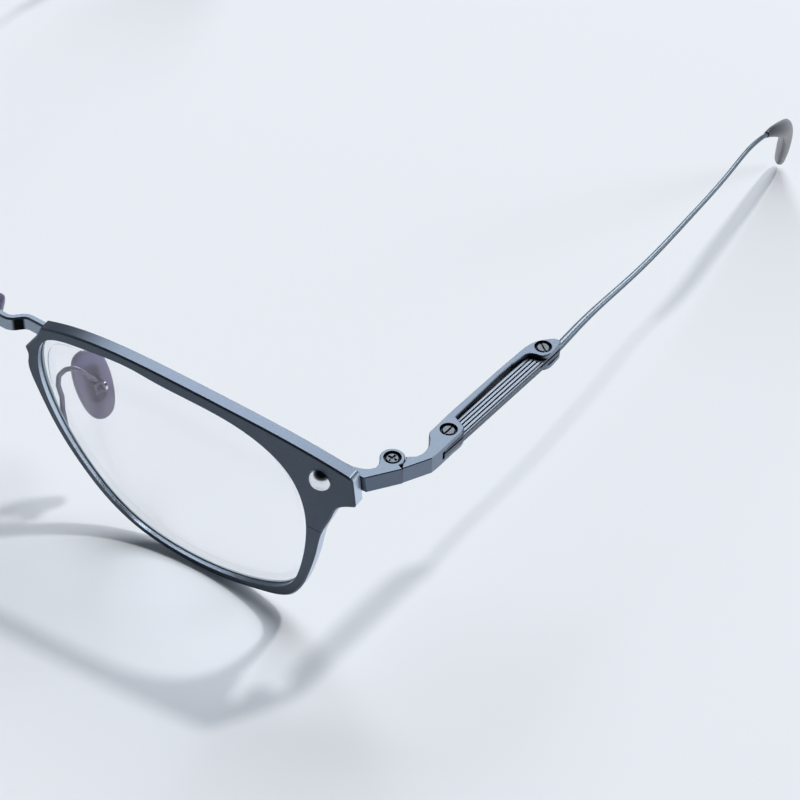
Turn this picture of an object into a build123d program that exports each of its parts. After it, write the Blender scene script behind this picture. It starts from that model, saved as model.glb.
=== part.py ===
from build123d import *
import math
import os

os.makedirs("parts", exist_ok=True)

# Driving sizes of the whole frame, in millimetres and degrees.
lens_width = 51.0
lens_gap = 17.4
front_height = 44.3
front_back = 3.33
front_drop = 0.28
front_wrap = 2.4
front_tilt = 3.3
temple_length = 134.6
temple_slope = 2.44

# Rim: one machined piece a side. The front face carries a bevel, the back edge a smaller one.
rim_depth = 2.15
rim_width = 1.4
rim_bevel = 0.28
rim_back_bevel = 0.12
rim_corner_radius = 0.9
groove_depth = 0.45
groove_width = 1.0
groove_setback = 1.2
split_gap = 0.12
outline_steps = 40

# Outlines are shares of the lens width across and of the front height up, from the rim's lowest point.
opening_shares = [
    (-0.0784, 0.9521), (0.1765, 0.9363), (0.3333, 0.9002), (0.4431, 0.8144), (0.4941, 0.6835),
    (0.4980, 0.5029), (0.4647, 0.3043), (0.4118, 0.1666), (0.3137, 0.0876), (0.1412, 0.0334),
    (-0.0392, 0.0312), (-0.2059, 0.0876), (-0.3529, 0.2479), (-0.4510, 0.4442),
    (-0.4961, 0.6158), (-0.4990, 0.7648), (-0.4588, 0.8777), (-0.3137, 0.9363),
]
brow_top_shares = [
    (-0.4686, 0.9375), (-0.3098, 0.9837), (-0.0431, 0.9995), (0.1961, 0.9905), (0.5039, 0.9679),
    (0.6873, 0.9363),
]
end_block_shares = [(0.6922, 0.7919), (0.6549, 0.7693), (0.6235, 0.7377)]
spur_shares = [(-0.5490, 0.7061), (-0.5441, 0.7354), (-0.5480, 0.7905)]
nose_corner_share = (-0.4980, 0.8709)

# Where the rim is measured: place along the opening, then its width there as a share of rim_width.
rim_station_shares = [
    (0.2354, 3.60), (0.2609, 2.05), (0.2982, 1.43), (0.3382, 1.18), (0.3765, 1.22), (0.3966, 1.47),
    (0.4288, 1.17), (0.4854, 1.04), (0.5393, 0.93), (0.5902, 0.93), (0.6291, 0.99),
    (0.6796, 1.02), (0.7356, 1.07), (0.7793, 1.25), (0.8063, 1.64),
]

# Lens
lens_thickness = 1.8
lens_radius = 300.0
lens_crown = 0.25
lens_fit = 0.03

# Closing blocks behind the split on the temple side, drawn together by one screw a side.
split_share = 0.5643
block_length = 2.4
block_width = 1.4
block_depth = 1.15
block_gap = 0.2
block_clearance = 0.1
block_fillet = 0.25
closing_head_radius = 0.46
closing_head_height = 0.5
closing_shank_radius = 0.28

# Bridge: a flat bar, bent in plan, its middle stepped forward of the rims.
bridge_thickness = 1.2
bridge_height = 2.8
bridge_bottom_share = 0.851
bridge_step = 2.04
bridge_back = -0.37
bridge_middle_half = 4.25
bridge_ramp_half = 6.25
bridge_overlap = 1.4
bridge_bend_radius = 2.1
bridge_bevel = 0.28

# Stud at the upper outer corner
stud_share = (0.5706, 0.8589)
stud_radius = 1.95
stud_height = 1.6
stud_rim = 0.15
stud_shank_radius = 0.8

# Hinge: its centre and top, then the leaves of the end piece and of the temple bracket.
hinge_outset = 1.2
hinge_back = 10.77
hinge_top_share = 0.903
hinge_height = 3.2
leaf_thickness = 1.0
washer_thickness = 0.15
washer_radius = 1.6
hinge_play = 0.04
hinge_gap = 0.08
lobe_radius = 1.95
knuckle_radius = 1.8
butt_angle = -22.0
metal_bevel = 0.12
hinge_shank_radius = 0.6
hinge_fit = 0.03

# Screw heads
head_radius = 1.02
head_height = 0.42
head_dome = 0.12
recess_radius = 1.42
recess_depth = 0.58
slot_width = 0.34
slot_depth = 0.26
cross_width = 0.4
cross_length = 1.6
clamp_turns = (88.0, 146.0)

# End piece: the foot behind the rim that the stud is riveted through, and the arm to the hinge.
foot_thickness = 1.2
foot_half_height = 2.1
foot_outer_share = 0.6784
arm_outer_shares = [(0.5767, 0.0000), (-0.1017, -0.1624), (-0.3500, -0.2200), (-0.8500, -0.2200)]
arm_inner_shares = [
    (-0.8500, -0.1500), (-0.4500, -0.1298), (-0.3000, -0.1180), (-0.2133, -0.1073),
    (-0.1233, -0.0863), (-0.1333, -0.0634), (-0.2567, -0.0293),
]

# Temple bracket, in plan from the hinge: shares of its width across and of its length back.
bracket_width = 6.0
bracket_length = 37.2
bracket_front_shares = [(0.2300, 0.0330), (0.3200, 0.0480)]
bracket_inner_bend_shares = [
    (0.3200, 0.0480), (0.4183, 0.0594), (0.5033, 0.0847), (0.5183, 0.1231), (0.4483, 0.1556),
    (0.2600, 0.1950),
]
bracket_rail_shares = [(0.2080, 0.2120), (0.2000, 0.3433), (0.2683, 0.7032), (0.3133, 0.8481)]
bracket_tail_shares = [
    (0.3133, 0.8481), (0.3400, 0.8890), (0.4233, 0.9317), (0.5667, 0.9648), (0.7850, 0.9992),
]
bracket_end_shares = [
    (0.7850, 0.9992), (0.9467, 0.9968), (0.9983, 0.9578), (0.9783, 0.8954), (0.8700, 0.8728),
    (0.7400, 0.8661), (0.5867, 0.8556), (0.4667, 0.8073), (0.4217, 0.7519),
]
bracket_window_shares = [
    (0.4217, 0.7519), (0.3967, 0.6745), (0.3967, 0.3659), (0.4067, 0.3500), (0.7800, 0.3240),
    (0.8250, 0.3150),
]
bracket_outer_shares = [
    (0.8250, 0.3150), (0.8510, 0.2970), (0.8450, 0.2500), (0.8400, 0.2000), (0.8370, 0.1500),
    (0.8150, 0.0930), (0.4283, -0.0320),
]
fork_slot_shares = [
    (0.3500, 0.1630), (0.3850, 0.3600), (0.4217, 0.7450), (0.4967, 0.9140), (0.6500, 0.9600),
    (0.7600, 1.0050), (0.8000, 1.1000), (1.5000, 1.1000), (1.5000, 0.1630),
]
fork_slot_height = 1.6
front_screw_share = (0.5350, 0.2725)
back_screw_share = (0.6950, 0.9245)

# Ribbed bar in the fork
bar_front_share = (0.8740, 0.3130)
bar_back_share = (0.9740, 0.8600)
bar_inner_shares = [
    (0.3833, 0.1780), (0.4000, 0.3130), (0.5050, 0.8600), (0.5250, 0.9140), (0.6800, 0.9640),
    (0.7900, 0.9870), (0.9850, 0.9870),
]
bar_tip_share = (0.8400, 0.1780)
bar_height = 1.5
rib_count = 4
rib_width = 0.36
rib_height = 0.4
rib_gap = 0.27
edge_rib_width = 0.13
side_groove_up = 0.25
side_groove_width = 0.42
side_groove_depth = 0.3

# Temple path: across, back and down as shares of the temple length. The wire and the tip share it, and
# their sections are set by place along it.
temple_path_shares = [
    (0.0386, 0.2734, -0.0122), (0.0371, 0.3867, -0.0126), (0.0383, 0.4871, -0.0126),
    (0.0349, 0.5674, -0.0126), (0.0305, 0.6492, -0.0126), (0.0238, 0.7139, -0.0127),
    (0.0215, 0.7533, -0.0155), (0.0201, 0.7946, -0.0271), (0.0134, 0.8343, -0.0507),
    (-0.0015, 0.8752, -0.0854), (-0.0327, 0.9391, -0.1642), (-0.0661, 1.0000, -0.2488),
]
wire_radius = 0.68
spigot_radius = 0.42
spigot_length = 1.5
wire_station_shares = [
    (0.00, 1.00), (0.05, 0.93), (0.14, 0.77), (0.25, 0.68), (0.36, 0.60), (0.46, 0.56), (0.54, 0.56),
    (0.60, 0.56), (0.64, 0.56), (0.68, 0.56), (0.72, 0.56), (0.77, 0.56), (0.83, 0.56),
]

# Temple tip: half its width and half its thickness as shares of tip_width.
tip_width = 3.6
tip_station_shares = [
    (0.60, 0.15, 0.14), (0.64, 0.34, 0.26), (0.68, 0.44, 0.31), (0.72, 0.49, 0.33), (0.77, 0.50, 0.34),
    (0.83, 0.50, 0.34), (0.90, 0.49, 0.33), (0.96, 0.42, 0.29), (0.99, 0.28, 0.21), (1.00, 0.14, 0.11),
]

# Nose pad: its centre, how it faces, then the pad, the core inside it and the lug that carries it.
pad_inset = 2.67
pad_back = 10.82
pad_up_share = 0.4844
pad_splay = 24.8
pad_slope = 15.9
pad_lean = 5.1
pad_width = 6.3
pad_height = 13.6
pad_thickness = 2.4
pad_fillet = 0.95
pad_shares = [
    (0.00, 0.500), (0.28, 0.455), (0.44, 0.330), (0.50, 0.140), (0.49, -0.060), (0.43, -0.250),
    (0.29, -0.420), (0.00, -0.500), (-0.29, -0.420), (-0.43, -0.250), (-0.49, -0.060),
    (-0.50, 0.140), (-0.44, 0.330), (-0.28, 0.455),
]
core_width = 2.8
core_height = 7.0
core_corner_radius = 1.26
core_thickness = 0.6
lug_radius = 0.8
lug_thickness = 0.8
box_up = 0.3
box_stand = 2.3
box_cheek = 0.42
box_play = 0.05
box_wall_gap = 0.18
pad_screw_radius = 0.38
pad_screw_head_radius = 0.72
pad_screw_head_height = 0.4
pad_screw_fit = 0.02

# Pad arm: the wire's path from its foot on the rim, as shares of its reach.
arm_wire_radius = 0.42
arm_reach = 10.0
arm_foot_share = (-0.4294, 0.3668)
arm_foot_back = 3.28
arm_bend_radius = 1.15
arm_path_shares = [
    (0.000, 0.000, 0.000), (-0.101, 0.040, 0.185), (-0.194, 0.100, 0.405), (-0.263, 0.180, 0.600),
    (-0.345, 0.202, 0.801), (-0.368, 0.262, 0.955), (-0.305, 0.355, 1.050), (-0.150, 0.415, 1.130),
    (-0.055, 0.460, 1.085),
]
arm_stub_share = (-0.240, 0.062, 0.355)
arm_end_share = 0.65

# Room a cutter runs past the material it cuts
overrun = 1.0

# Places that follow from the sizes above
lens_middle = 0.5 * (lens_gap + lens_width)
split_height = split_share * front_height
stud_place = (stud_share[0] * lens_width, stud_share[1] * front_height)
foot_outer = foot_outer_share * lens_width
opening_reach = max(across for across, up in opening_shares) * lens_width
block_across = opening_reach + groove_depth + block_clearance + 0.5 * block_width
hinge_across = lens_middle + end_block_shares[0][0] * lens_width + hinge_outset
hinge_top = hinge_top_share * front_height

front_place = Location((lens_middle, front_back, -front_drop)) * Rot(0, 0, front_wrap)
front_place = front_place * Rot(90 + front_tilt, 0, 0)
hinge_place = Location((hinge_across, hinge_back, hinge_top)) * Rot(-temple_slope, 0, 0)
splay = math.radians(pad_splay)
slope = math.radians(pad_slope)
pad_place = Plane(
    origin=(0.5 * lens_gap + pad_inset, pad_back, pad_up_share * front_height),
    x_dir=(math.sin(splay), math.cos(splay), 0),
    z_dir=(math.cos(slope) * math.cos(splay), -math.cos(slope) * math.sin(splay), math.sin(slope)),
).location * Rot(0, 0, pad_lean)


def scaled(shares, width, height):
    """Turns shares across and up into points."""
    return [(across * width, up * height) for across, up in shares]


def front_points(shares):
    return scaled(shares, lens_width, front_height)


def bracket_points(shares):
    return scaled(shares, bracket_width, bracket_length)


def slab(face, bottom, top):
    """A plan face made solid between two levels."""
    return extrude(Pos(0, 0, bottom) * face, amount=top - bottom)


def disc(radius, bottom, top, place=(0, 0)):
    return Pos(place[0], place[1], 0.5 * (bottom + top)) * Cylinder(radius, top - bottom)


def bevelled(solid, level, length):
    """Bevels the edges that lie at one level of a solid."""
    edges = solid.edges().filter_by_position(Axis.Z, level, level)
    return chamfer(edges, length)


def opening_edge():
    return Spline(*front_points(opening_shares), periodic=True)


def outside_opening(edge, place, distance):
    """A point a distance outside the lens opening, at a place along its edge."""
    return edge @ place + (edge % place).rotate(Axis.Z, 90) * distance


def opening_face(grow=0):
    """The lens opening, or the same outline grown by a distance."""
    edge = opening_edge()
    if grow == 0:
        return make_face(edge)
    places = [number / outline_steps for number in range(outline_steps)]
    points = [outside_opening(edge, place, grow) for place in places]
    return make_face(Spline(*points, periodic=True))


def rim_face():
    """The outline of one side of the front, with no lens opening in it."""
    opening = opening_edge()
    lower = front_points(end_block_shares)
    for place, width in rim_station_shares:
        lower.append(outside_opening(opening, place, width * rim_width))
    lower.extend(front_points(spur_shares))
    top = front_points(brow_top_shares)
    corner = front_points([nose_corner_share])[0]
    outline = [
        Spline(*top),
        Line(top[-1], lower[0]),
        Spline(*lower),
        Line(lower[-1], corner),
        Line(corner, top[0]),
    ]
    face = make_face(outline)
    block_corners = face.vertices().sort_by(Axis.X)[-2:]
    return fillet(block_corners, rim_corner_radius)


def rim_blank():
    return slab(rim_face(), -rim_depth, 0)


def left_rim():
    blank = bevelled(rim_blank(), 0, rim_bevel)
    blank = bevelled(blank, -rim_depth, rim_back_bevel)
    opening = slab(opening_face(), -rim_depth - overrun, overrun)
    split = Pos(0.75 * lens_width, split_height, 0) * Box(lens_width, split_gap, 3 * rim_depth)
    hole = disc(stud_shank_radius, -rim_depth - overrun, overrun, stud_place)
    half = 0.5 * groove_width
    groove = slab(opening_face(groove_depth), -groove_setback - half, -groove_setback + half)
    return front_place * (blank - opening - split - hole - groove)


def left_lens():
    """A plano lens, both faces round one centre, with a flat edge that sits in the groove."""
    body = slab(opening_face(-lens_fit), -3 * rim_depth, rim_depth)
    centre = Pos(0, 0.5 * front_height, lens_crown - lens_radius) * Rot(90, 0, 0)
    body = (body & (centre * Sphere(lens_radius))) - centre * Sphere(lens_radius - lens_thickness)
    half = 0.5 * groove_width - lens_fit
    edge = slab(opening_face(groove_depth - lens_fit), -groove_setback - half, -groove_setback + half)
    edge = edge - slab(opening_face(-rim_width), -rim_depth, 0)
    return front_place * (body + edge)


def closing_block(direction):
    """One half of the closing barrel: direction 1 is above the split and -1 below it."""
    middle = split_height + direction * 0.5 * (block_gap + block_length)
    place = Pos(block_across, middle, -rim_depth - 0.5 * block_depth)
    block = place * Box(block_width, block_length, block_depth)
    edges = block.edges().filter_by(Axis.Y).sort_by(Axis.Z)[:2]
    return fillet(edges, block_fillet)


def closing_hole(radius, bottom, top):
    """A round hole or shank along the closing screw's line, between two heights on the front."""
    middle = Pos(block_across, 0.5 * (bottom + top), -rim_depth - 0.5 * block_depth)
    return middle * Rot(90, 0, 0) * Cylinder(radius, top - bottom)


def left_closing_parts():
    top = split_height + 0.5 * block_gap + block_length
    bottom = split_height - 0.5 * block_gap - block_length
    shank = closing_hole(closing_shank_radius, bottom, top - block_gap)
    head = closing_hole(closing_head_radius, bottom, bottom + closing_head_height)
    head_top = bottom + closing_head_height
    recess = closing_hole(closing_head_radius + hinge_fit, bottom - overrun, head_top)
    slot = Pos(block_across, bottom, -rim_depth - 0.5 * block_depth)
    slot = slot * Box(2 * closing_head_radius, slot_depth, 0.5 * slot_width)
    lower_hole = closing_hole(closing_shank_radius + hinge_fit, bottom, split_height)
    return {
        "left_closing_block_upper": front_place * (closing_block(1) - shank),
        "left_closing_block_lower": front_place * (closing_block(-1) - lower_hole - recess),
        "left_closing_screw": front_place * (shank + head - slot),
    }


def left_stud():
    """A domed head on the front face and a shank riveted through the rim and the end piece's foot."""
    rise = stud_height - stud_rim
    ball = (stud_radius ** 2 + rise ** 2) / (2 * rise)
    dome = Pos(0, 0, stud_height - ball) * Sphere(ball)
    head = disc(stud_radius, 0, stud_height) & dome
    shank = disc(stud_shank_radius, -rim_depth - foot_thickness, 0)
    return front_place * Pos(*stud_place) * (head + shank)


def bridge():
    """A flat bar bent in plan; each end stops against the nose side of a rim."""
    reach = 0.5 * lens_gap + bridge_overlap
    line = FilletPolyline(
        (-reach, bridge_step),
        (-bridge_ramp_half, bridge_step),
        (-bridge_middle_half, 0),
        (bridge_middle_half, 0),
        (bridge_ramp_half, bridge_step),
        (reach, bridge_step),
        radius=bridge_bend_radius,
    )
    bar = slab(trace(line, bridge_thickness), 0, bridge_height)
    long_edges = bar.edges().filter_by_position(Axis.Z, bridge_height, bridge_height)
    long_edges = long_edges + bar.edges().filter_by_position(Axis.Z, 0, 0)
    bar = chamfer(long_edges, bridge_bevel)
    bar = Pos(0, bridge_back, bridge_bottom_share * front_height) * bar
    rim = front_place * rim_blank()
    return bar - rim - mirror(rim, about=Plane.YZ)


def screw(cutter, shank_radius, length):
    """A cheese-head screw, its head's underside at the origin and its shank downwards."""
    head = disc(head_radius, 0, head_height)
    head = chamfer(head.edges().sort_by(Axis.Z)[-1], head_dome)
    return head + disc(shank_radius, -length, 0) - cutter


def cross_cutter():
    arm = Box(cross_length, cross_width, 2 * slot_depth)
    return Pos(0, 0, head_height) * (arm + Rot(0, 0, 90) * arm)


def slot_cutter():
    return Pos(0, 0, head_height) * Box(3 * head_radius, slot_width, 2 * slot_depth)


def screw_hole(shank_radius, place=(0, 0)):
    """The recess for a head in the top face and the hole for its shank right through."""
    recess = disc(recess_radius, -recess_depth, overrun, place)
    return recess + disc(shank_radius, -hinge_height - overrun, 0, place)


def butt_side(gap):
    """All the plan below the line where the end piece and the temple bracket meet."""
    half_plane = Pos(0, -2 * bracket_width) * Rectangle(8 * bracket_width, 4 * bracket_width)
    return Rot(0, 0, butt_angle) * Pos(0, gap) * half_plane


def left_end_piece():
    """The foot behind the rim, the arm, and the two outer leaves of the hinge."""
    arm = make_face(
        Polyline(bracket_points(arm_outer_shares + arm_inner_shares), close=True)
    )
    plan = (arm & butt_side(0)) + Circle(lobe_radius)
    solid = slab(plan, -hinge_height, 0)
    solid = bevelled(bevelled(solid, 0, metal_bevel), -hinge_height, metal_bevel)
    slot_half = 0.5 * hinge_height - leaf_thickness
    middle = -0.5 * hinge_height
    slot = disc(lobe_radius + hinge_gap, middle - slot_half, middle + slot_half)
    solid = solid - slot - screw_hole(hinge_shank_radius + hinge_fit)
    everywhere = Rectangle(4 * lens_width, 4 * front_height)
    arm_solid = hinge_place * solid - front_place * slab(everywhere, -rim_depth, 20 * rim_depth)
    length = foot_outer - stud_place[0]
    foot = Pos(0.5 * length, 0) * Rectangle(length, 2 * foot_half_height) + Circle(foot_half_height)
    foot = slab(foot, -rim_depth - foot_thickness, -rim_depth)
    foot = foot - disc(stud_shank_radius, -4 * rim_depth, 0)
    foot = front_place * Pos(*stud_place) * foot
    return arm_solid + foot


def left_hinge_screw():
    solid = screw(cross_cutter(), hinge_shank_radius, hinge_height - recess_depth)
    return hinge_place * Pos(0, 0, -recess_depth) * solid


def left_hinge_washers():
    """Two thin washers between the leaves, one node as they are alike."""
    ring = disc(washer_radius, 0, washer_thickness)
    ring = ring - disc(hinge_shank_radius + hinge_fit, -overrun, overrun)
    upper = Pos(0, 0, -leaf_thickness - washer_thickness) * ring
    lower = Pos(0, 0, leaf_thickness - hinge_height) * ring
    return Compound(children=[hinge_place * upper, hinge_place * lower])


def bracket_face():
    """The outline of the temple bracket in plan, before the hinge is cut from it."""
    window = bracket_points(bracket_window_shares)
    rail = bracket_points(bracket_rail_shares)
    front = bracket_points(bracket_front_shares)
    bend = bracket_points(bracket_inner_bend_shares)
    outer = bracket_points(bracket_outer_shares)
    outline = [
        Polyline(*front),
        Spline(*bend),
        Line(bend[-1], rail[0]),
        Polyline(*rail),
        Spline(*bracket_points(bracket_tail_shares)),
        Spline(*bracket_points(bracket_end_shares)),
        Polyline(*window),
        Spline(*outer[:-1]),
        Polyline(*outer[-2:], front[0]),
    ]
    return make_face(outline)


def left_temple_bracket():
    """The middle leaf of the hinge, the bent block, the rail and the two forked lobes."""
    plan = bracket_face() - Circle(lobe_radius + hinge_gap) - butt_side(hinge_gap)
    solid = slab(plan, -hinge_height, 0)
    solid = bevelled(bevelled(solid, 0, metal_bevel), -hinge_height, metal_bevel)
    middle = -0.5 * hinge_height
    fork = make_face(Polyline(*bracket_points(fork_slot_shares), close=True))
    solid = solid - slab(fork, middle - 0.5 * fork_slot_height, middle + 0.5 * fork_slot_height)
    half = 0.5 * hinge_height - leaf_thickness - washer_thickness - hinge_play
    neck = Pos(knuckle_radius, 0) * Rectangle(2 * knuckle_radius, 2 * knuckle_radius)
    neck = neck & Circle(lobe_radius + 2 * hinge_gap) - butt_side(2 * hinge_gap)
    knuckle = slab(Circle(knuckle_radius) + Rot(0, 0, 15) * neck, middle - half, middle + half)
    solid = solid + knuckle - disc(hinge_shank_radius + hinge_fit, -hinge_height, 0)
    for share in (front_screw_share, back_screw_share):
        solid = solid - screw_hole(hinge_shank_radius + hinge_fit, bracket_points([share])[0])
    return hinge_place * solid


def left_ribbed_bar():
    """The bar held in the fork, with ribs along its top and a groove along its outer side."""
    middle = -0.5 * hinge_height
    half = 0.5 * bar_height
    outline = bar_inner_shares + [bar_back_share, bar_front_share, bar_tip_share]
    plan = make_face(Polyline(*bracket_points(outline), close=True))
    solid = slab(plan, middle - half, middle + half)
    side_ring = plan - offset(plan, -side_groove_depth)
    low = middle + side_groove_up - 0.5 * side_groove_width
    solid = solid - slab(side_ring, low, low + side_groove_width)
    front, back = bracket_points([bar_front_share, bar_back_share])
    inset = edge_rib_width
    for number in range(rib_count):
        solid = solid - rib_groove(front, back, inset, inset + rib_gap)
        inset = inset + rib_gap + rib_width
    solid = solid - rib_groove(front, back, inset, bracket_width)
    for share in (front_screw_share, back_screw_share):
        place = bracket_points([share])[0]
        solid = solid - disc(hinge_shank_radius + hinge_fit, -hinge_height, 0, place)
    return hinge_place * (solid - wire_solid())


def rib_groove(front, back, near, far):
    """A groove in the bar's top, parallel to its outer edge and between two distances inside it."""
    corners = [
        (front[0] - near, front[1]),
        (back[0] - near, back[1]),
        (back[0] - far, back[1]),
        (front[0] - far, front[1]),
    ]
    top = 0.5 * (bar_height - hinge_height)
    return slab(make_face(Polyline(*corners, close=True)), top - rib_height, top + overrun)


def left_clamp_screws():
    """The two slotted screws through the fork and the bar, one node as they are alike."""
    screws = []
    for share, turn in zip((front_screw_share, back_screw_share), clamp_turns):
        across, back = bracket_points([share])[0]
        place = hinge_place * Pos(across, back, -recess_depth) * Rot(0, 0, turn)
        screws.append(place * screw(slot_cutter(), hinge_shank_radius, hinge_height - recess_depth))
    return Compound(children=screws)


def temple_sections(stations):
    """A plane square to the temple path at each station, its x axis level."""
    path = Spline(*[Vector(*share) * temple_length for share in temple_path_shares])
    planes = []
    for station in stations:
        ahead = path % station[0]
        level = ahead.cross(Vector(0, 0, 1))
        planes.append(Plane(origin=path @ station[0], x_dir=level, z_dir=ahead))
    return planes


def wire_solid():
    """The wire with the thin end that fits into the back of the ribbed bar."""
    planes = temple_sections(wire_station_shares)
    circles = []
    for plane, share in zip(planes, wire_station_shares):
        circles.append(plane * Circle(share[1] * wire_radius))
    spigot = planes[0].offset(-spigot_length) * Circle(spigot_radius)
    return loft(circles) + extrude(spigot, amount=spigot_length)


def left_temple_wire():
    return hinge_place * wire_solid()


def left_temple_tip():
    sections = []
    for plane, share in zip(temple_sections(tip_station_shares), tip_station_shares):
        sections.append(plane * Ellipse(share[2] * tip_width, share[1] * tip_width))
    return hinge_place * (loft(sections) - wire_solid())


def pad_outline():
    return make_face(Spline(*scaled(pad_shares, pad_width, pad_height), periodic=True))


def lug_and_core():
    """The flat core in the pad and the lug that stands out of it."""
    plate = RectangleRounded(core_width, core_height, core_corner_radius)
    plate = Pos(0, box_up) * slab(plate, -0.5 * core_thickness, 0.5 * core_thickness)
    lug = Rectangle(2 * lug_radius, box_stand, align=(Align.CENTER, Align.MAX)) + Circle(lug_radius)
    lug = slab(lug, -0.5 * lug_thickness, 0.5 * lug_thickness)
    lug = Pos(0, box_up, box_stand) * Rot(0, 0, 90) * Rot(90, 0, 0) * lug
    return plate + lug


def pad_axle(radius, start, end):
    """A round bar along the pad screw's line, from one place across the pad to another."""
    return Pos(0.5 * (start + end), box_up, box_stand) * Rot(0, 90, 0) * Cylinder(radius, end - start)


def left_pad_core():
    hole = pad_axle(pad_screw_radius + pad_screw_fit, -lug_thickness, lug_thickness)
    return pad_place * (lug_and_core() - hole)


def left_nose_pad():
    body = slab(pad_outline(), -0.5 * pad_thickness, 0.5 * pad_thickness)
    body = fillet(body.edges(), pad_fillet)
    return pad_place * (body - lug_and_core())


def left_pad_box():
    """A fork of two cheeks and a wall, round the lug."""
    inner = 0.5 * lug_thickness + box_play
    outer = inner + box_cheek
    wall = lug_radius + box_wall_gap
    back = Rectangle(2 * lug_radius, wall + box_cheek, align=(Align.CENTER, Align.MIN))
    cheek = Circle(lug_radius) + back
    solid = Rot(0, 90, 0) * slab(cheek, -outer, outer)
    gap = Box(2 * inner, 2 * wall, 4 * lug_radius)
    solid = Pos(0, box_up, box_stand) * (solid - gap)
    return pad_place * (solid - pad_axle(pad_screw_radius, -2 * outer, 2 * outer))


def left_pad_screw():
    outer = 0.5 * lug_thickness + box_play + box_cheek
    shank = pad_axle(pad_screw_radius, -outer, outer)
    head = pad_axle(pad_screw_head_radius, outer, outer + pad_screw_head_height)
    return pad_place * (shank + head)


def left_pad_arm():
    """The bent wire from the nose side of the rim to the pad box, with the stub of its foot."""
    across, up = front_points([arm_foot_share])[0]
    foot = Vector(lens_middle + across, arm_foot_back, up)
    points = [foot + Vector(*share) * arm_reach for share in arm_path_shares]
    wall = box_up + lug_radius + box_wall_gap + arm_end_share * box_cheek
    points.append((pad_place * Pos(0, wall, box_stand)).position)
    path = FilletPolyline(*points, radius=arm_bend_radius)
    section = Plane(origin=points[0], z_dir=points[1] - points[0]) * Circle(arm_wire_radius)
    arm = sweep(section, path)
    top = foot + Vector(*arm_stub_share) * arm_reach
    stub = Plane(origin=points[1], z_dir=top - points[1]) * Circle(arm_wire_radius)
    stub = extrude(stub, amount=(top - points[1]).length)
    return arm + stub - front_place * rim_blank() - left_pad_box()


left_makers = {
    "left_rim": left_rim,
    "left_lens": left_lens,
    "left_end_piece": left_end_piece,
    "left_stud": left_stud,
    "left_hinge_screw": left_hinge_screw,
    "left_hinge_washers": left_hinge_washers,
    "left_pad_arm": left_pad_arm,
    "left_pad_box": left_pad_box,
    "left_pad_screw": left_pad_screw,
    "left_nose_pad": left_nose_pad,
    "left_pad_core": left_pad_core,
    "left_temple_bracket": left_temple_bracket,
    "left_ribbed_bar": left_ribbed_bar,
    "left_clamp_screws": left_clamp_screws,
    "left_temple_wire": left_temple_wire,
    "left_temple_tip": left_temple_tip,
}
shapes = {name: maker() for name, maker in left_makers.items()}
shapes.update(left_closing_parts())
for name in list(shapes):
    shapes[name.replace("left", "right")] = mirror(shapes[name], about=Plane.YZ)
shapes["bridge"] = bridge()

boxes = [shape.bounding_box() for shape in shapes.values()]
lowest = min(box.min.Z for box in boxes)
middle_back = 0.5 * (min(box.min.Y for box in boxes) + max(box.max.Y for box in boxes))
for name, shape in shapes.items():
    export_step(Pos(0, -middle_back, -lowest) * shape, "parts/" + name + ".step")
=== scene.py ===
import math

import bmesh
import bpy
from bpy.props import FloatProperty, FloatVectorProperty, IntProperty, PointerProperty
from mathutils import Matrix, Vector


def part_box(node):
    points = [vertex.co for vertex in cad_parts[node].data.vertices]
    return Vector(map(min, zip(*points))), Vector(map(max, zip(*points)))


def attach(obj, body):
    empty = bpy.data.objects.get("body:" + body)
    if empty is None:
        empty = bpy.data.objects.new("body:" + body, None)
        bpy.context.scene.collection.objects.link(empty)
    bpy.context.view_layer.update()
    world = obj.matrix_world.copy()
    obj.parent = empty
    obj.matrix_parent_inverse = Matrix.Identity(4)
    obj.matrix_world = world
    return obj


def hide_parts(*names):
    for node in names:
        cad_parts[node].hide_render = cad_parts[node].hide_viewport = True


bl_info = {
    "name": "Square Eyeglasses",
    "version": (1, 0, 0),
    "blender": (4, 5, 0),
    "location": "View3D > Sidebar > Eyeglasses",
    "description": "Dresses the packed eyeglasses, models their soft nose pads and sets the stage",
    "category": "Object",
}

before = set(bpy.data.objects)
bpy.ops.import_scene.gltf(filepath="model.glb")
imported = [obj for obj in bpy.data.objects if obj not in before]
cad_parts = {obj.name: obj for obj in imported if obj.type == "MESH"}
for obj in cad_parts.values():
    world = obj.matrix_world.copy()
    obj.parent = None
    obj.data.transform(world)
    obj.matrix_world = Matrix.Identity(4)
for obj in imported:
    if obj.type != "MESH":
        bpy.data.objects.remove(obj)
SIDES = ("left", "right")
MM = 0.001

# Blasted titanium: the size of its grains, and how strongly and how high they stand.
BLASTED_GRAIN = 0.14 * MM
BLASTED_BUMP = 0.2
BUMP_HEIGHT = 0.02 * MM
# Noise seldom leaves the middle of its range. These parts of it are spread from dark to light and from
# smooth to rough, and roughness swings this far about its mean.
GRAIN_TINTS = (0.35, 0.65)
GRAIN_ROUGHNESS = (0.3, 0.7)
ROUGHNESS_SWING = 0.05
# How open a face is where the painted shade makes it black, and where it keeps its colour.
SHADE_OPENNESS = (0.35, 0.8)
PAINTED_SHADE_COLOUR = "#020304"
SHADE_SAMPLES = 8
# How squarely a lens's face looks forwards or back where its frosted edge ends and where it is clear.
LENS_FACING = (0.89, 0.94)
LENS_EDGE_ROUGHNESS = 0.5
# A wave texture of scale 1 repeats once in this length, so this over a pitch is the scale to set.
WAVE_LENGTH = 0.314
MILLING_PITCH = 0.3 * MM
# The two colours and the result of a mix node, by the numbers of its sockets.
MIX_INPUTS = (6, 7)
MIX_RESULT = 2

# Room light by height, from the horizon to the zenith: the sine of the elevation and the colour.
ROOM_STOPS = ((0.12, "#e6ebf3"), (0.45, "#43484f"), (0.75, "#08090b"))
SOFTBOX_COLOUR = "#fffdfd"
SUN_COLOUR = "#fff9f2"

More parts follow.
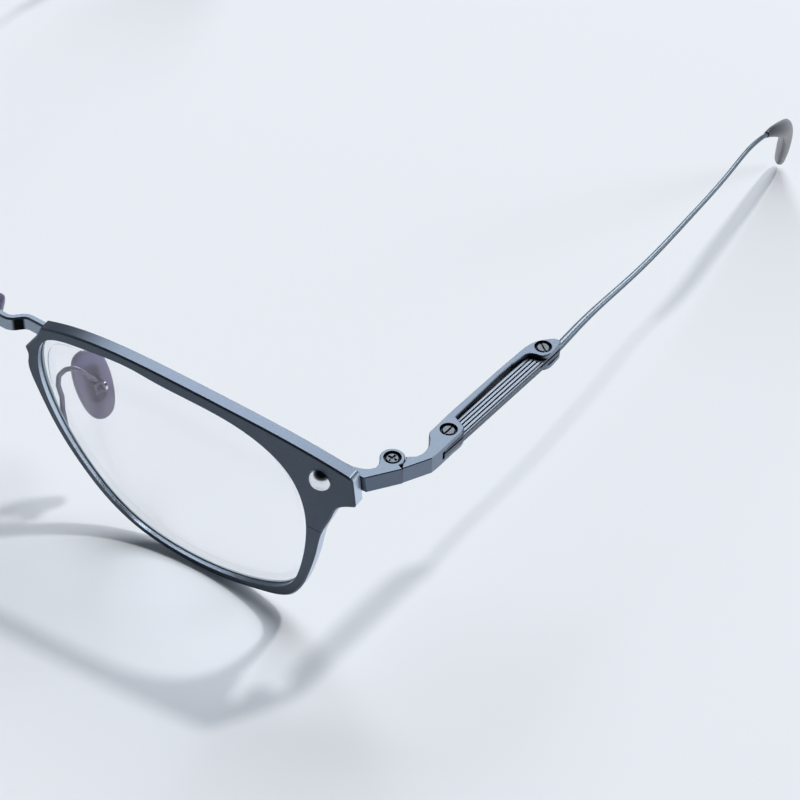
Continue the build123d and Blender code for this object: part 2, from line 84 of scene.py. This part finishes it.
# The hinge screw is the point that the camera is set out from.
HINGE = 0.5 * (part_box("left_hinge_screw")[0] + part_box("left_hinge_screw")[1])

# The nose pad's outline, as shares of its width and height.
PAD_OUTLINE_SHARES = (
    (0.00, 0.500), (0.30, 0.470), (0.46, 0.340), (0.51, 0.140), (0.50, -0.060), (0.44, -0.260),
    (0.31, -0.440), (0.00, -0.510), (-0.31, -0.440), (-0.44, -0.260), (-0.50, -0.060),
    (-0.51, 0.140), (-0.46, 0.340), (-0.30, 0.470),
)
# The pad's wall, and each inset towards its crown (how far in and how far up), as shares of its thickness.
PAD_WALL_SHARE = 0.5
PAD_CROWN_SHARES = ((0.22, 0.16), (0.45, 0.10), (0.50, 0.04))


class SpectacleSizes(bpy.types.PropertyGroup):
    """Sizes and places of what the script models and of the camera and lamps."""

    pad_width: FloatProperty(
        name="Pad width", description="Width of a nose pad", default=6.3 * MM, unit="LENGTH")
    pad_height: FloatProperty(
        name="Pad height", description="Height of a nose pad", default=13.6 * MM, unit="LENGTH")
    pad_thickness: FloatProperty(
        name="Pad thickness", description="Thickness of a nose pad at its crown",
        default=2.25 * MM, unit="LENGTH")
    pad_splay: FloatProperty(
        name="Pad splay", description="Turn of the pad in plan", default=math.radians(24.8), subtype="ANGLE")
    pad_slope: FloatProperty(
        name="Pad slope", description="Tilt of the pad's face upwards",
        default=math.radians(15.9), subtype="ANGLE")
    pad_lean: FloatProperty(
        name="Pad lean", description="Turn of the pad in its own face",
        default=math.radians(5.1), subtype="ANGLE")
    pad_smoothing: IntProperty(
        name="Pad smoothing", description="Subdivision levels of a nose pad", default=3, min=1, max=4)
    camera_offset: FloatVectorProperty(
        name="Camera offset", description="Camera's place from the left hinge screw",
        default=(197.55 * MM, -270.17 * MM, 352.86 * MM), subtype="XYZ", unit="LENGTH")
    camera_forward: FloatVectorProperty(
        name="Camera direction", description="Direction that the camera looks in",
        default=(-0.41281, 0.56862, -0.71152), subtype="DIRECTION")
    focal_length: FloatProperty(
        name="Focal length", description="Focal length in millimetres, on a 36 mm sensor", default=144.77)
    floor_size: FloatProperty(
        name="Floor size", description="Side of the floor", default=6.0, unit="LENGTH")
    sun_direction: FloatVectorProperty(
        name="Sun direction", description="Direction towards the small hard lamp",
        default=(0.24, 0.60, 1.0), subtype="DIRECTION")
    sun_width: FloatProperty(
        name="Sun width", description="Angle that the hard lamp fills",
        default=math.radians(4.2), subtype="ANGLE")
    top_box_direction: FloatVectorProperty(
        name="Top softbox direction", description="Direction to the softbox that the top faces mirror",
        default=(-0.29, 0.575, 0.765), subtype="DIRECTION")
    side_box_direction: FloatVectorProperty(
        name="Side softbox direction", description="Direction to the softbox that the outer bevels mirror",
        default=(0.71, 0.57, 0.41), subtype="DIRECTION")
    box_distance: FloatProperty(
        name="Softbox distance", description="Distance of both softboxes", default=5.0, unit="LENGTH")
    top_box_size: FloatVectorProperty(
        name="Top softbox size", description="Width and height of the top softbox",
        default=(3.9, 2.7), size=2, unit="LENGTH")
    side_box_size: FloatVectorProperty(
        name="Side softbox size", description="Width and height of the side softbox",
        default=(1.8, 1.8), size=2, unit="LENGTH")


class SpectacleLooks(bpy.types.PropertyGroup):
    """Strengths of the lamps."""

    sun_strength: FloatProperty(
        name="Sun strength", description="Irradiance of the hard lamp", default=1.12)
    top_box_power: FloatProperty(
        name="Top softbox power", description="Power of the top softbox in watts", default=213.0)
    side_box_power: FloatProperty(
        name="Side softbox power", description="Power of the side softbox in watts", default=55.0)


def linear(hex_colour):
    """Turns an sRGB hex colour into linear red, green, blue and alpha."""
    channels = [int(hex_colour[i:i + 2], 16) / 255 for i in (1, 3, 5)]
    return [c / 12.92 if c <= 0.04045 else ((c + 0.055) / 1.055) ** 2.4 for c in channels] + [1.0]


def add_node(tree, kind, settings=None, values=None, links=None):
    """Adds a node, sets its own settings and its inputs' values, and links its inputs."""
    node = tree.nodes.new(kind)
    for name, value in (settings or {}).items():
        setattr(node, name, value)
    for name, value in (values or {}).items():
        node.inputs[name].default_value = value
    for name, socket in (links or {}).items():
        tree.links.new(socket, node.inputs[name])
    return node


def new_material(name):
    """An empty node material and its tree."""
    material = bpy.data.materials.new(name)
    material.use_nodes = True
    material.node_tree.nodes.clear()
    return material, material.node_tree


def surface(tree, shader):
    """Makes a shader socket the surface of a material."""
    add_node(tree, "ShaderNodeOutputMaterial", links={"Surface": shader})


def principled(tree, values, links):
    """Makes a principled shader the surface of a material."""
    shader = add_node(tree, "ShaderNodeBsdfPrincipled", values=values, links=links)
    surface(tree, shader.outputs["BSDF"])


def object_place(tree):
    """The place on the part, in metres."""
    return add_node(tree, "ShaderNodeTexCoord").outputs["Object"]


def grain(tree, size):
    """Noise with grains of one size in metres."""
    noise = add_node(
        tree, "ShaderNodeTexNoise", values={"Scale": 1 / size}, links={"Vector": object_place(tree)})
    return noise.outputs["Fac"]


def spread(tree, source, low, high, low_out=0.0, high_out=1.0):
    """Maps one range of a grey value to another."""
    mapped = add_node(
        tree, "ShaderNodeMapRange",
        values={"From Min": low, "From Max": high, "To Min": low_out, "To Max": high_out},
        links={"Value": source})
    return mapped.outputs["Result"]


def facing(tree, axis, low, high):
    """A factor that grows from 0 to 1 as a face turns to look along one axis, either way."""
    place = add_node(tree, "ShaderNodeTexCoord")
    parts = add_node(tree, "ShaderNodeSeparateXYZ", links={"Vector": place.outputs["Normal"]})
    size = add_node(tree, "ShaderNodeMath", {"operation": "ABSOLUTE"}, links={0: parts.outputs[axis]})
    return spread(tree, size.outputs["Value"], low, high)


def mixed_colour(tree, factor, first, second):
    """Mixes two colours, each a hex string or a socket, by a factor socket."""
    values, links = {}, {0: factor}
    for place, colour in zip(MIX_INPUTS, (first, second)):
        if isinstance(colour, str):
            values[place] = linear(colour)
        else:
            links[place] = colour
    return add_node(tree, "ShaderNodeMix", {"data_type": "RGBA"}, values, links).outputs[MIX_RESULT]


def painted_shade(tree, colour, reach):
    """Paints shade: darkens a colour where other faces within reach close it in, in slots and grooves."""
    closed = add_node(
        tree, "ShaderNodeAmbientOcclusion", {"samples": SHADE_SAMPLES}, {"Distance": reach})
    return mixed_colour(tree, spread(tree, closed.outputs["AO"], *SHADE_OPENNESS), PAINTED_SHADE_COLOUR, colour)


def metal(name, dark, light, roughness, grain_size, bump=0.0, light_tints=(), shade_reach=0.0):
    """A metal with fine grains in its colour and roughness. Each light tint is an axis, a range and a
    colour: painted light or shade on the faces that look along that axis. Shade is painted into hollows
    within the shade reach.
    """
    material, tree = new_material(name)
    fine = grain(tree, grain_size)
    colour = mixed_colour(tree, spread(tree, fine, *GRAIN_TINTS), dark, light)
    for axis, low, high, light_tint in light_tints:
        colour = mixed_colour(tree, facing(tree, axis, low, high), colour, light_tint)
    if shade_reach:
        colour = painted_shade(tree, colour, shade_reach)
    smoothest = roughness - ROUGHNESS_SWING
    roughest = roughness + ROUGHNESS_SWING
    links = {"Base Color": colour, "Roughness": spread(tree, fine, *GRAIN_ROUGHNESS, smoothest, roughest)}
    if bump:
        height = add_node(
            tree, "ShaderNodeBump", values={"Strength": bump, "Distance": BUMP_HEIGHT},
            links={"Height": fine})
        links["Normal"] = height.outputs["Normal"]
    principled(tree, {"Metallic": 1.0}, links)
    return material


def coated_rim():
    """Ion-plated titanium, blasted first: satin slate, with painted highlights: its top faces a little
    lighter, its side faces much lighter.
    """
    return metal(
        "coated_rim", "#3c454f", "#48525d", roughness=0.34, grain_size=BLASTED_GRAIN, bump=BLASTED_BUMP,
        light_tints=[("Z", 0.6, 0.95, "#4f5966"), ("X", 0.75, 0.95, "#c8d4e4")])


def coated_bridge():
    """The bridge's smoother skin, with painted light: its colour is painted light for the light its face
    catches, its two ramps are painted black as a reflection of the dark room, and its top is painted darker.
    """
    return metal(
        "coated_bridge", "#7f8c99", "#8f9ba8", roughness=0.3, grain_size=BLASTED_GRAIN, bump=BLASTED_BUMP,
        light_tints=[("X", 0.5, 0.65, "#07090c"), ("Z", 0.8, 0.95, "#49535e")])


def coated_titanium():
    """The slate skin of the hinge parts: their flanks are painted a little brighter as a highlight, and
    shade is painted black into their gaps.
    """
    return metal(
        "coated_titanium", "#454e5a", "#535d69", roughness=0.34, grain_size=BLASTED_GRAIN,
        bump=BLASTED_BUMP, light_tints=[("X", 0.75, 0.95, "#7c8898")], shade_reach=1.0 * MM)


def turned_steel():
    """Dark screws with a turned finish; shade is painted black into their slots and recesses."""
    return metal(
        "turned_steel", "#33383e", "#474d54", roughness=0.28, grain_size=0.2 * MM, shade_reach=0.5 * MM)


def polished_steel():
    """A polished dome that mirrors what is round it: the pale floor below, the dark room above."""
    return metal("polished_steel", "#e6e9ec", "#eef0f2", roughness=0.06, grain_size=0.4 * MM)


def milled_bar():
    """The bar's grey skin, broken by the fine marks that the cutter left square to its grooves; shade is
    painted black into the grooves.
    """
    material, tree = new_material("milled_bar")
    marks = add_node(
        tree, "ShaderNodeTexWave", {"bands_direction": "Y"},
        {"Scale": WAVE_LENGTH / MILLING_PITCH, "Distortion": 1.5}, {"Vector": object_place(tree)})
    colour = mixed_colour(tree, marks.outputs["Fac"], "#4a535e", "#6d7681")
    principled(
        tree, {"Metallic": 1.0, "Roughness": 0.36}, {"Base Color": painted_shade(tree, colour, 0.4 * MM)})
    return material


def coated_wire():
    """Drawn titanium wire, its colour painted lighter than the blasted parts' to stand in for the highlight
    along its top.
    """
    return metal("coated_wire", "#5b6671", "#6a7580", roughness=0.32, grain_size=0.15 * MM)


def nickel_silver():
    """Drawn nickel silver of the pad arms and boxes, dull and faintly violet."""
    return metal("nickel_silver", "#595469", "#6e697f", roughness=0.3, grain_size=0.15 * MM)


def stamped_core():
    """The stamped insert inside a pad, a dull violet patch in the silicone."""
    return metal("stamped_core", "#4a4663", "#575371", roughness=0.4, grain_size=0.15 * MM)


def moulded_sleeve():
    """Moulded sleeve of dark plastic with a soft shine."""
    material, tree = new_material("moulded_sleeve")
    rough = spread(tree, grain(tree, 0.3 * MM), *GRAIN_ROUGHNESS, 0.3, 0.42)
    principled(
        tree,
        {"Base Color": linear("#1b232c"), "IOR": 1.49, "Coat Weight": 0.2, "Coat Roughness": 0.2},
        {"Roughness": rough})
    return material


def lens_plastic():
    """Clear hard plastic, its ground edge frosted. Shadow rays and diffuse rays pass straight on."""
    material, tree = new_material("coated_lens_plastic")
    clear = facing(tree, "Y", *LENS_FACING)
    shader = add_node(
        tree, "ShaderNodeBsdfPrincipled",
        values={"IOR": 1.5, "Specular IOR Level": 0.25},
        links={
            "Base Color": mixed_colour(tree, clear, "#92a4b0", "#fdfdff"),
            "Roughness": spread(tree, clear, 0, 1, LENS_EDGE_ROUGHNESS, 0),
            "Transmission Weight": clear,
        })
    open_way = add_node(tree, "ShaderNodeBsdfTransparent", values={"Color": linear("#fcfdfe")})
    path = add_node(tree, "ShaderNodeLightPath")
    carried = add_node(
        tree, "ShaderNodeMath", {"operation": "MAXIMUM"},
        links={0: path.outputs["Is Shadow Ray"], 1: path.outputs["Is Diffuse Ray"]})
    mixed = add_node(
        tree, "ShaderNodeMixShader",
        links={0: carried.outputs["Value"], 1: shader.outputs["BSDF"], 2: open_way.outputs["BSDF"]})
    surface(tree, mixed.outputs["Shader"])
    return material


def pad_silicone(low, high):
    """Cast silicone: soft and cloudy, greyer at its foot; its violet is a painted reflection of the lens
    coating's violet sheen. The metal inside shows as a patch.
    """
    material, tree = new_material("cast_silicone")
    parts = add_node(tree, "ShaderNodeSeparateXYZ", links={"Vector": object_place(tree)})
    share = spread(tree, parts.outputs["Z"], low, high)
    principled(
        tree, {"Roughness": 0.3, "IOR": 1.41, "Transmission Weight": 0.75},
        {"Base Color": mixed_colour(tree, share, "#6c677b", "#6d6694")})
    return material


def floor_board():
    """Matt board, pale and a little blue."""
    material, tree = new_material("matt_board")
    principled(
        tree, {"Base Color": linear("#e3eaf2"), "Roughness": 0.9, "Specular IOR Level": 0.1}, {})
    return material


def dress(material, *nodes):
    """Gives CAD nodes one material."""
    for name in nodes:
        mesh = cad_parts[name].data
        mesh.materials.clear()
        mesh.materials.append(material)


def both(*names):
    """The names of nodes on both sides."""
    return [side + "_" + name for side in SIDES for name in names]


def mesh_object(name, shape):
    """Makes an object of a bmesh and puts it in the scene."""
    bmesh.ops.recalc_face_normals(shape, faces=shape.faces)
    mesh = bpy.data.meshes.new(name)
    shape.to_mesh(mesh)
    shape.free()
    for face in mesh.polygons:
        face.use_smooth = True
    piece = bpy.data.objects.new(name, mesh)
    bpy.context.scene.collection.objects.link(piece)
    return piece


def pad_place(side, sizes):
    """Where a pad's own axes stand: x across it, y up it and z out of its outer face."""
    splay, slope = sizes.pad_splay, sizes.pad_slope
    x_axis = Vector((math.sin(splay), math.cos(splay), 0))
    z_axis = Vector((math.cos(slope) * math.cos(splay), -math.cos(slope) * math.sin(splay), math.sin(slope)))
    y_axis = z_axis.cross(x_axis)
    turn = Matrix((x_axis, y_axis, z_axis)).transposed() @ Matrix.Rotation(sizes.pad_lean, 3, "Z")
    points = [vertex.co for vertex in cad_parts["left_nose_pad"].data.vertices]
    centre = Vector((0, 0, 0))
    for axis in turn.transposed():
        reaches = [axis.dot(point) for point in points]
        centre += 0.5 * (min(reaches) + max(reaches)) * axis
    place = Matrix.Translation(centre) @ turn.to_4x4()
    if side == "right":
        return Matrix.Scale(-1, 4, (1, 0, 0)) @ place
    return place


def pad_shape(sizes):
    """A crowned pebble: the outline, its walls, and insets that rise to a crown on both faces."""
    shape = bmesh.new()
    bmesh.ops.create_circle(shape, cap_ends=True, segments=len(PAD_OUTLINE_SHARES), radius=sizes.pad_width)
    shape.verts.ensure_lookup_table()
    for vert, (across, up) in zip(shape.verts, PAD_OUTLINE_SHARES):
        vert.co = (across * sizes.pad_width, up * sizes.pad_height, 0)
    wall = PAD_WALL_SHARE * sizes.pad_thickness
    grown = bmesh.ops.extrude_face_region(shape, geom=shape.faces[:], use_keep_orig=True)
    lifted = [part for part in grown["geom"] if isinstance(part, bmesh.types.BMVert)]
    kept = [vert for vert in shape.verts if vert not in lifted]
    bmesh.ops.translate(shape, verts=lifted, vec=(0, 0, 0.5 * wall))
    bmesh.ops.translate(shape, verts=kept, vec=(0, 0, -0.5 * wall))
    bmesh.ops.recalc_face_normals(shape, faces=shape.faces)
    caps = [face for face in shape.faces if len(face.verts) == len(PAD_OUTLINE_SHARES)]
    for inwards, rise in PAD_CROWN_SHARES:
        bmesh.ops.inset_region(
            shape, faces=caps, thickness=inwards * sizes.pad_thickness, depth=rise * sizes.pad_thickness)
    return shape


class SPECTACLES_OT_nose_pads(bpy.types.Operator):
    """Models the two soft nose pads and dresses their cores, boxes and arms"""

    bl_idname = "spectacles.nose_pads"
    bl_label = "Nose pads"

    def execute(self, context):
        sizes = context.scene.spectacle_sizes
        low, high = (corner[2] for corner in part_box("left_nose_pad"))
        silicone = pad_silicone(low, high)
        for side in SIDES:
            shape = pad_shape(sizes)
            bmesh.ops.transform(shape, matrix=pad_place(side, sizes), verts=shape.verts)
            piece = mesh_object(side + "_pad_silicone", shape)
            smooth = piece.modifiers.new("smooth", "SUBSURF")
            smooth.levels = smooth.render_levels = sizes.pad_smoothing
            piece.data.materials.append(silicone)
            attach(piece, side + "_nose_pad")
            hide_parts(side + "_nose_pad")
        dress(stamped_core(), *both("pad_core"))
        dress(nickel_silver(), *both("pad_arm", "pad_box"))
        return {"FINISHED"}


class SPECTACLES_OT_front(bpy.types.Operator):
    """Dresses the rims, the bridge, the end pieces, the closing blocks and the temple brackets"""

    bl_idname = "spectacles.front"
    bl_label = "Front and brackets"

    def execute(self, context):
        dress(coated_bridge(), "bridge")
        dress(coated_rim(), *both("rim", "closing_block_upper", "closing_block_lower"))
        dress(coated_titanium(), *both("end_piece", "temple_bracket"))
        return {"FINISHED"}


class SPECTACLES_OT_lenses(bpy.types.Operator):
    """Dresses the two lenses"""

    bl_idname = "spectacles.lenses"
    bl_label = "Lenses"

    def execute(self, context):
        dress(lens_plastic(), *both("lens"))
        return {"FINISHED"}


class SPECTACLES_OT_fasteners(bpy.types.Operator):
    """Dresses the screws and the washers, and polishes the studs and the pad screws"""

    bl_idname = "spectacles.fasteners"
    bl_label = "Screws and studs"

    def execute(self, context):
        dress(turned_steel(), *both("hinge_screw", "hinge_washers", "clamp_screws", "closing_screw"))
        dress(polished_steel(), *both("stud", "pad_screw"))
        return {"FINISHED"}


class SPECTACLES_OT_temples(bpy.types.Operator):
    """Dresses the ribbed bars, the wires and their sleeves"""

    bl_idname = "spectacles.temples"
    bl_label = "Temples"

    def execute(self, context):
        dress(milled_bar(), *both("ribbed_bar"))
        dress(coated_wire(), *both("temple_wire"))
        dress(moulded_sleeve(), *both("temple_tip"))
        return {"FINISHED"}


def studio_world():
    """A dark room whose horizon is as pale as the floor."""
    world = bpy.data.worlds.new("studio")
    bpy.context.scene.world = world
    world.use_nodes = True
    tree = world.node_tree
    tree.nodes.clear()
    place = add_node(tree, "ShaderNodeTexCoord")
    parts = add_node(tree, "ShaderNodeSeparateXYZ", links={"Vector": place.outputs["Generated"]})
    ramp = add_node(tree, "ShaderNodeValToRGB", links={"Fac": parts.outputs["Z"]})
    stops = ramp.color_ramp.elements
    stops.new(0.5)
    for stop, (height, colour) in zip(stops, ROOM_STOPS):
        stop.position = height
        stop.color = linear(colour)
    light = add_node(tree, "ShaderNodeBackground", links={"Color": ramp.outputs["Color"]})
    add_node(tree, "ShaderNodeOutputWorld", links={"Surface": light.outputs["Background"]})


def lamp_object(name, lamp, direction):
    """Puts a lamp in the scene, so that it shines from one direction."""
    holder = bpy.data.objects.new(name, lamp)
    holder.rotation_euler = Vector(direction).to_track_quat("Z", "Y").to_euler()
    bpy.context.scene.collection.objects.link(holder)
    return holder


def softbox(name, direction, distance, size, power):
    """A rectangular lamp that looks at the part from one direction."""
    lamp = bpy.data.lights.new(name, "AREA")
    lamp.energy = power
    lamp.shape = "RECTANGLE"
    lamp.size, lamp.size_y = size
    lamp.color = linear(SOFTBOX_COLOUR)[:3]
    holder = lamp_object(name, lamp, direction)
    holder.location = distance * Vector(direction).normalized()


def stage_sun(sizes, looks):
    """The small hard lamp that draws the shadows."""
    lamp = bpy.data.lights.new("sun", "SUN")
    lamp.energy = looks.sun_strength
    lamp.angle = sizes.sun_width
    lamp.color = linear(SUN_COLOUR)[:3]
    lamp_object("sun", lamp, sizes.sun_direction)


def stage_camera(sizes):
    """The camera, set out from the left hinge screw."""
    lens = bpy.data.cameras.new("camera")
    lens.lens = sizes.focal_length
    camera = bpy.data.objects.new("camera", lens)
    camera.location = HINGE + Vector(sizes.camera_offset)
    camera.rotation_euler = Vector(sizes.camera_forward).to_track_quat("-Z", "Y").to_euler()
    bpy.context.scene.collection.objects.link(camera)
    bpy.context.scene.camera = camera


def stage_floor(sizes):
    """The floor that the part stands on."""
    shape = bmesh.new()
    bmesh.ops.create_grid(shape, x_segments=1, y_segments=1, size=0.5 * sizes.floor_size)
    floor = mesh_object("floor", shape)
    floor.data.materials.append(floor_board())


class SPECTACLES_OT_stage(bpy.types.Operator):
    """Makes the camera, the floor, the lamps and the room's light"""

    bl_idname = "spectacles.stage"
    bl_label = "Stage"

    def execute(self, context):
        sizes = context.scene.spectacle_sizes
        looks = context.scene.spectacle_looks
        context.scene.view_settings.view_transform = "Standard"
        stage_camera(sizes)
        stage_floor(sizes)
        stage_sun(sizes, looks)
        softbox(
            "top_box", sizes.top_box_direction, sizes.box_distance,
            sizes.top_box_size, looks.top_box_power)
        softbox(
            "side_box", sizes.side_box_direction, sizes.box_distance,
            sizes.side_box_size, looks.side_box_power)
        studio_world()
        return {"FINISHED"}


STEPS = (
    SPECTACLES_OT_stage,
    SPECTACLES_OT_front,
    SPECTACLES_OT_lenses,
    SPECTACLES_OT_fasteners,
    SPECTACLES_OT_temples,
    SPECTACLES_OT_nose_pads,
)


class SPECTACLES_PT_panel(bpy.types.Panel):
    """Lists the steps in the order they are run"""

    bl_idname = "SPECTACLES_PT_panel"
    bl_label = "Eyeglasses"
    bl_space_type = "VIEW_3D"
    bl_region_type = "UI"
    bl_category = "Eyeglasses"

    def draw(self, context):
        for step in STEPS:
            self.layout.operator(step.bl_idname)


CLASSES = (SpectacleSizes, SpectacleLooks, SPECTACLES_PT_panel) + STEPS


def register():
    for cls in CLASSES:
        bpy.utils.register_class(cls)
    bpy.types.Scene.spectacle_sizes = PointerProperty(type=SpectacleSizes)
    bpy.types.Scene.spectacle_looks = PointerProperty(type=SpectacleLooks)


def unregister():
    del bpy.types.Scene.spectacle_looks
    del bpy.types.Scene.spectacle_sizes
    for cls in reversed(CLASSES):
        bpy.utils.unregister_class(cls)


def main():
    """Runs every step."""
    register()
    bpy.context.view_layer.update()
    for step in STEPS:
        group, name = step.bl_idname.split(".")
        getattr(getattr(bpy.ops, group), name)()


if __name__ == "__main__":
    main()
